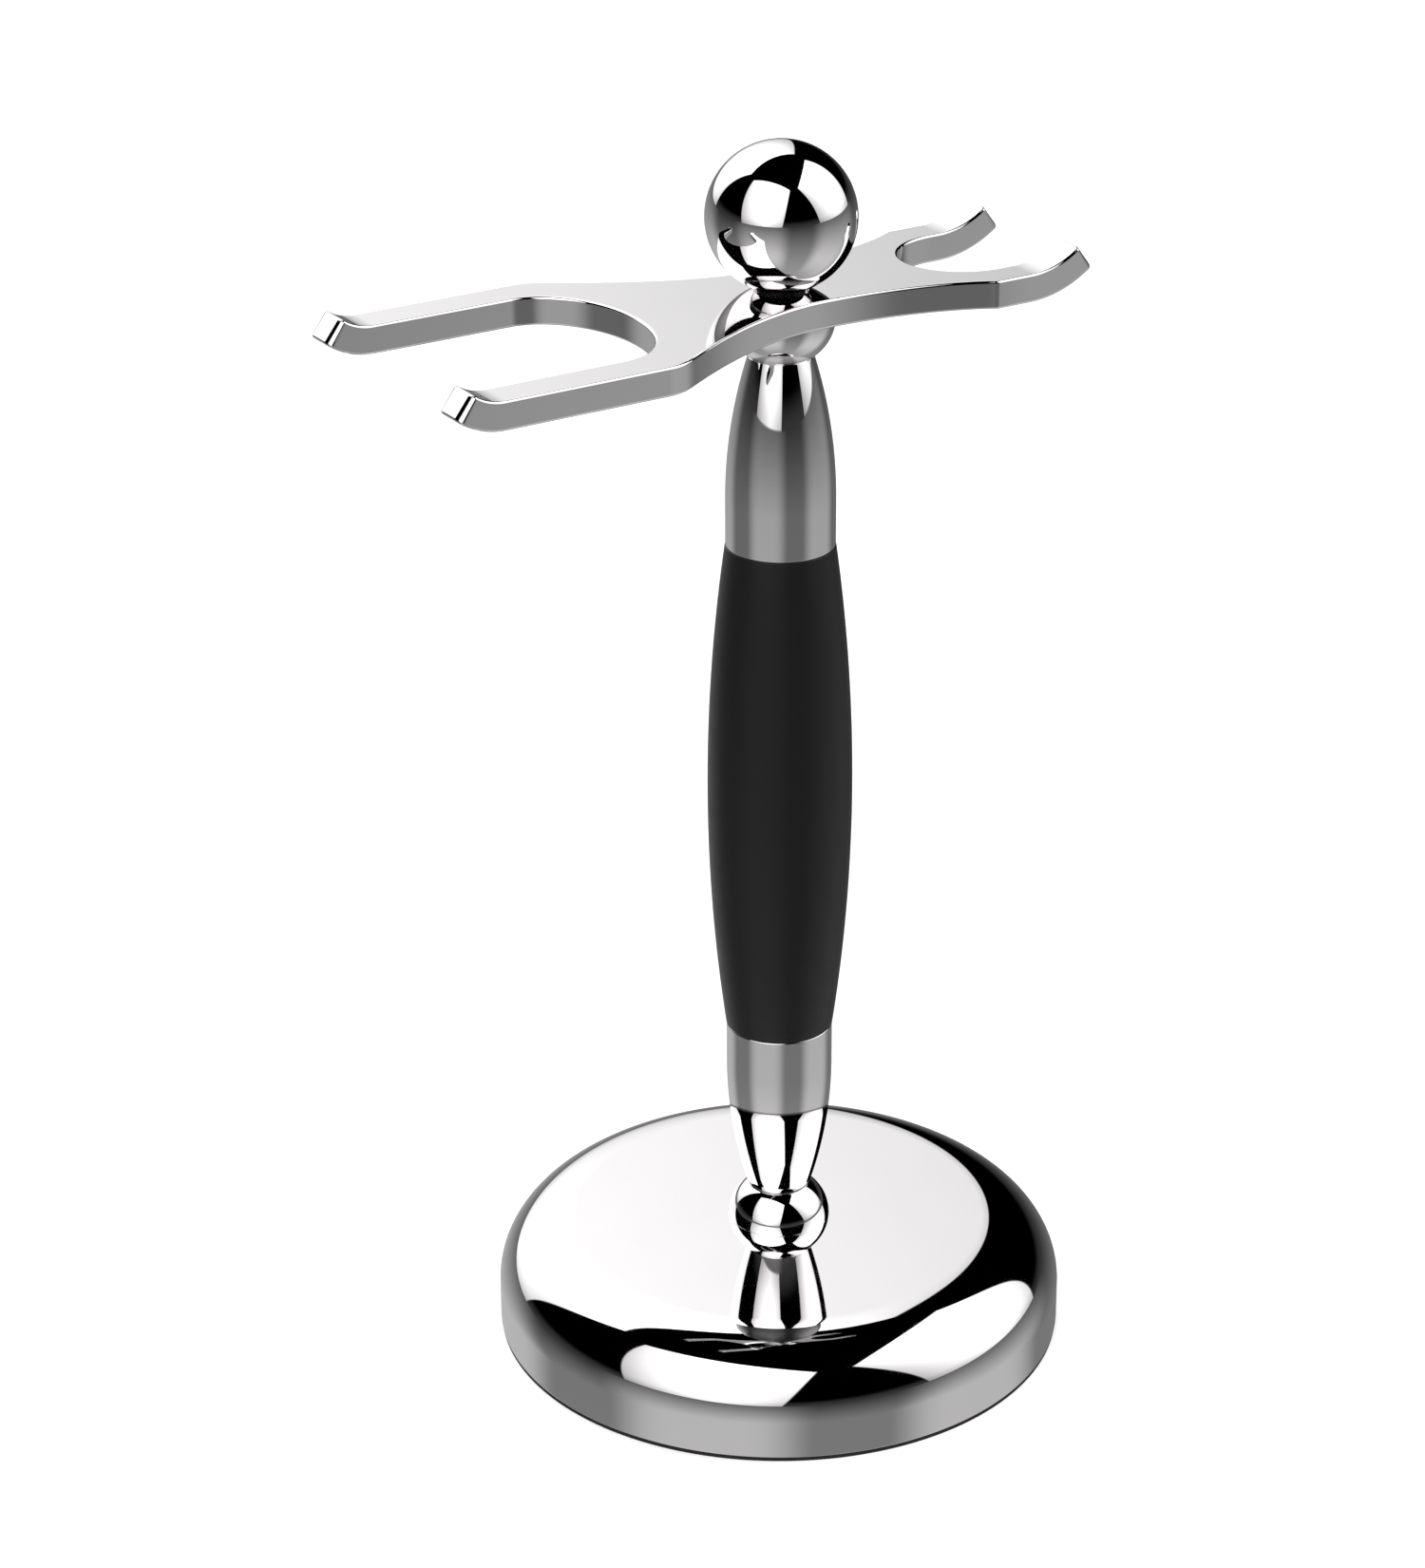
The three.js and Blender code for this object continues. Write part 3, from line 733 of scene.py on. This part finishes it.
class Studio:
    """The world: three square soft boxes round the object, a dark ceiling, and a grey ground below."""

    TURNS = [math.radians(a) for a in (-30, 90, 210)]
    LEAN = math.radians(24.5)

    # A soft box's edges and brightness, on a plane at distance 1 from the stand.
    HALF_WIDTH = 0.66
    BOTTOM, TOP = -0.455, 0.85
    BLUR = 0.012
    BRIGHT_LEFT = 0.1
    BRIGHT_MIDDLE = 1.8
    SIDE_FALL = 1.6
    BRIGHT_LEVEL = 1.05
    UPWARD_RISE = 0.6
    DIM_BOTTOM = 0.75
    DIM_HEIGHT = 0.2

    # The ground's brightness: at the horizon, and what is added towards straight down.
    GROUND_DARK, GROUND_DARK_RISE = 0.035, 0.30
    GROUND_LIT, GROUND_LIT_RISE = 0.10, 0.37
    LIT_TOWARDS = (0.70, 0.97)
    LIT_LEVEL = (0.2, 0.8)

    # Haze just above the horizon, which is itself soft.
    HAZE_HEIGHT = 0.16
    HAZE_BRIGHT = 0.035
    HORIZON_BLUR = 0.006

    def __init__(self):
        world = bpy.data.worlds.new("studio")
        bpy.context.scene.world = world
        world.use_nodes = True
        self.tree = world.node_tree
        self.tree.nodes.clear()
        self.ray = self.tree.nodes.new("ShaderNodeTexCoord").outputs["Generated"]

    def math(self, operation, first, second=None):
        """One step of arithmetic on node outputs and numbers."""
        node = self.tree.nodes.new("ShaderNodeMath")
        node.operation = operation
        for socket, value in zip(node.inputs, (first, second)):
            if value is None:
                continue
            if isinstance(value, (int, float)):
                socket.default_value = value
            else:
                self.tree.links.new(value, socket)
        return node.outputs["Value"]

    def along(self, direction):
        """How far the ray goes in a direction."""
        node = self.tree.nodes.new("ShaderNodeVectorMath")
        node.operation = "DOT_PRODUCT"
        self.tree.links.new(self.ray, node.inputs[0])
        node.inputs[1].default_value = direction
        return node.outputs["Value"]

    def ramp(self, value, start, end, low=0.0, high=1.0):
        """Rises smoothly from low at start to high at end."""
        node = self.tree.nodes.new("ShaderNodeMapRange")
        node.interpolation_type = "SMOOTHSTEP"
        node.inputs["From Min"].default_value = start
        node.inputs["From Max"].default_value = end
        node.inputs["To Min"].default_value = low
        node.inputs["To Max"].default_value = high
        self.tree.links.new(value, node.inputs["Value"])
        return node.outputs["Result"]

    def window(self, turn):
        """One soft box's brightness, less towards its sides and its bottom."""
        heading = turn + VIEW_AZIMUTH
        flat = Vector((math.sin(heading), math.cos(heading), 0))
        forward = flat * math.cos(self.LEAN) + Vector((0, 0, math.sin(self.LEAN)))
        right = Vector((math.cos(heading), -math.sin(heading), 0))
        up = right.cross(forward)
        depth = self.along(forward)
        across = self.math("DIVIDE", self.along(right), depth)
        height = self.math("DIVIDE", self.along(up), depth)
        side = self.math("SUBTRACT", self.HALF_WIDTH, self.math("ABSOLUTE", across))
        above = self.math("SUBTRACT", height, self.BOTTOM)
        below = self.math("SUBTRACT", self.TOP, height)
        edge = self.math("MINIMUM", side, self.math("MINIMUM", above, below))
        in_front = self.math("GREATER_THAN", depth, 0.0)
        shown = self.math("MULTIPLY", self.ramp(edge, -self.BLUR, self.BLUR), in_front)
        from_middle = self.math("ABSOLUTE", self.math("ADD", across, self.BRIGHT_LEFT))
        fall = self.math("MULTIPLY", from_middle, self.SIDE_FALL)
        inward = self.math("SUBTRACT", self.BRIGHT_MIDDLE, fall)
        rise = self.math("MULTIPLY", height, self.UPWARD_RISE)
        upward = self.math("ADD", rise, self.BRIGHT_LEVEL)
        dimmed = self.ramp(above, 0.0, self.DIM_HEIGHT, self.DIM_BOTTOM, 1.0)
        bright = self.math("MULTIPLY", self.math("MULTIPLY", inward, upward), dimmed)
        return self.math("MULTIPLY", shown, bright)

    def ground(self):
        """Dark grey, lighter straight down and below each soft box."""
        down = self.along((0, 0, -1))
        level = self.math("SQRT", self.math("SUBTRACT", 1.0, self.math("MULTIPLY", down, down)))
        lit = None
        for turn in self.TURNS:
            heading = turn + VIEW_AZIMUTH
            outward = self.along((math.sin(heading), math.cos(heading), 0))
            toward = self.math("DIVIDE", outward, level)
            glow = self.ramp(toward, *self.LIT_TOWARDS)
            lit = glow if lit is None else self.math("ADD", lit, glow)
        lit = self.math("MULTIPLY", lit, self.ramp(level, *self.LIT_LEVEL))
        dark_rise = self.math("MULTIPLY", down, self.GROUND_DARK_RISE)
        dark = self.math("ADD", dark_rise, self.GROUND_DARK)
        glow_rise = self.math("MULTIPLY", down, self.GROUND_LIT_RISE)
        glow = self.math("ADD", glow_rise, self.GROUND_LIT)
        return self.math("ADD", dark, self.math("MULTIPLY", lit, glow))

    def build(self):
        """Joins soft boxes, haze and ground; straight views of the world show white paper."""
        height = self.along((0, 0, 1))
        windows = None
        for turn in self.TURNS:
            one = self.window(turn)
            windows = one if windows is None else self.math("MAXIMUM", windows, one)
        haze = self.ramp(height, 0.0, self.HAZE_HEIGHT, self.HAZE_BRIGHT, 0.0)
        above = self.math("MAXIMUM", windows, haze)
        is_up = self.ramp(height, -self.HORIZON_BLUR, self.HORIZON_BLUR)
        mixed = self.tree.nodes.new("ShaderNodeMix")
        self.tree.links.new(is_up, mixed.inputs["Factor"])
        self.tree.links.new(self.ground(), mixed.inputs["A"])
        self.tree.links.new(above, mixed.inputs["B"])
        path = self.tree.nodes.new("ShaderNodeLightPath")
        lit = self.tree.nodes.new("ShaderNodeBackground")
        self.tree.links.new(mixed.outputs["Result"], lit.inputs["Strength"])
        paper = self.tree.nodes.new("ShaderNodeBackground")
        paper.inputs["Strength"].default_value = 1.0
        for shader in (lit, paper):
            shader.inputs["Color"].default_value = (1, 1, 1, 1)
        both = self.tree.nodes.new("ShaderNodeMixShader")
        self.tree.links.new(path.outputs["Is Camera Ray"], both.inputs["Fac"])
        self.tree.links.new(lit.outputs["Background"], both.inputs[1])
        self.tree.links.new(paper.outputs["Background"], both.inputs[2])
        output = self.tree.nodes.new("ShaderNodeOutputWorld")
        self.tree.links.new(both.outputs["Shader"], output.inputs["Surface"])


def floor():
    """A plain white sweep that takes the stand's faint shadow and stays out of its reflections."""
    half = FLOOR_HALF
    corners = [(-half, -half, 0), (half, -half, 0), (half, half, 0), (-half, half, 0)]
    mesh = bpy.data.meshes.new("floor")
    mesh.from_pydata(corners, [], [(0, 1, 2, 3)])
    made = bpy.data.objects.new("floor", mesh)
    bpy.context.scene.collection.objects.link(made)
    material, _, shader = principled("white_paper")
    shader.inputs["Base Color"].default_value = PAPER_COLOUR
    shader.inputs["Roughness"].default_value = 1.0
    shader.inputs["Specular IOR Level"].default_value = 0.0
    shader.inputs["Emission Color"].default_value = (1, 1, 1, 1)
    shader.inputs["Emission Strength"].default_value = PAPER_GLOW
    mesh.materials.append(material)
    made.visible_glossy = False
    made.visible_diffuse = False


def camera():
    """Looks at the stand from the photograph's side."""
    data = bpy.data.cameras.new("camera")
    data.lens = CAMERA_LENS
    data.sensor_width = CAMERA_SENSOR
    data.shift_x = CAMERA_SHIFT_X
    data.clip_start, data.clip_end = CAMERA_CLIP
    made = bpy.data.objects.new("camera", data)
    made.location = CAMERA_PLACE
    made.rotation_euler = (CAMERA_TILT, 0, -VIEW_AZIMUTH)
    bpy.context.scene.collection.objects.link(made)
    bpy.context.scene.camera = made


# ---------- assembly ----------

CHROME = chrome()
RESIN = black_resin()
FOAM = foam_rubber()
STEEL = plain_metal("zinc_steel", STEEL_SHADES, STEEL_ROUGHNESS, grain_scale=3000, depth=0.01 * MM)
IRON = plain_metal("cast_iron", IRON_SHADES, IRON_ROUGHNESS, grain_scale=1200, depth=0.15 * MM)
BRASS = plain_metal("brass", BRASS_SHADES, BRASS_ROUGHNESS, grain_scale=2500, depth=0.01 * MM)
NYLON = black_nylon()

finish_piece(round_disc("base_pad", PAD_EDGE), "stand", FOAM, "base_pad")
finish_piece(round_disc("base_cover", COVER_EDGE), "stand", STEEL, "base_cover")
finish_piece(base_shell(), "stand", CHROME, "base_shell")
finish_piece(tie_rod(), "stand", STEEL, "tie_rod")
finish_piece(dome_collar("lower_dome_collar", False), "stand", CHROME, "lower_dome_collar")
finish_piece(ferrule("lower_ferrule", ROD_HOLE, False), "stand", CHROME, "lower_ferrule")
finish_piece(grip(), "stand", RESIN, "grip")
finish_piece(ferrule("upper_ferrule", TAPPED_HOLE, True), "stand", CHROME, "upper_ferrule")
finish_piece(dome_collar("upper_dome_collar", True), "stand", CHROME, "upper_dome_collar")
finish_piece(fork_plate(), "fork", CHROME, "fork_plate")
finish_piece(finial_washer(), "finial_seat", NYLON, "finial_washer")
finish_piece(ball_finial(), "finial", CHROME, "ball_finial")

# Pieces that don't show keep their CAD meshes.
inside = {
    "base_weight": (IRON, "ballast_iron"),
    "base_nut": (STEEL, "steel"),
    "base_spring_washer": (STEEL, "steel"),
    "base_flat_washer": (STEEL, "steel"),
    "grip_core_tube": (BRASS, "brass"),
}
for name, (material, slot) in inside.items():
    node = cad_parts[name]
    node.data.materials.clear()
    node.data.materials.append(material)

floor()
Studio().build()
camera()
bpy.context.scene.view_settings.view_transform = "Standard"
